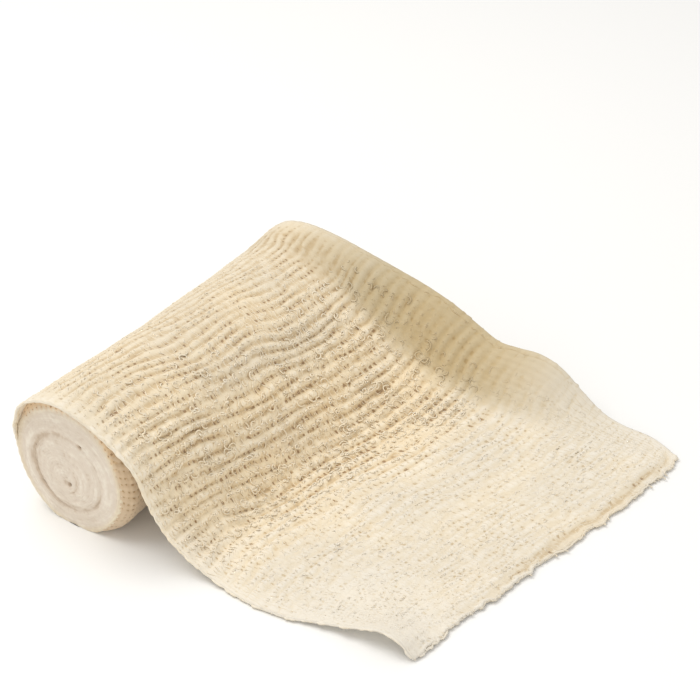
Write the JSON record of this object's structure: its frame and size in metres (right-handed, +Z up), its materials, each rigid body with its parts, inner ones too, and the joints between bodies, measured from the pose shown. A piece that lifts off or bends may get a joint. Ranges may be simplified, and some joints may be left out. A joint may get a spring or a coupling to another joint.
{
  "type": "crepe bandage roll",
  "caption": "Unbleached cotton crepe bandage, wound into a soft oval roll that lies on its side, with its ribbed loose end drawn over the top and laid out in front.",
  "frame": {"origin": "middle of the flat spot that the roll rests on, halfway along the roll", "axes": "+X the way the loose end runs, +Y along the roll's axis, +Z up"},
  "size_m": [0.1318, 0.1114, 0.0401],
  "materials": {
    "wound_crepe": "matt, brushed cotton edges",
    "loose_crepe": "matt, crinkled open weave"
  },
  "bodies": {
    "root": {"wound_roll": "wound_crepe", "loose_end": "loose_crepe"}
  },
  "joints": []
}
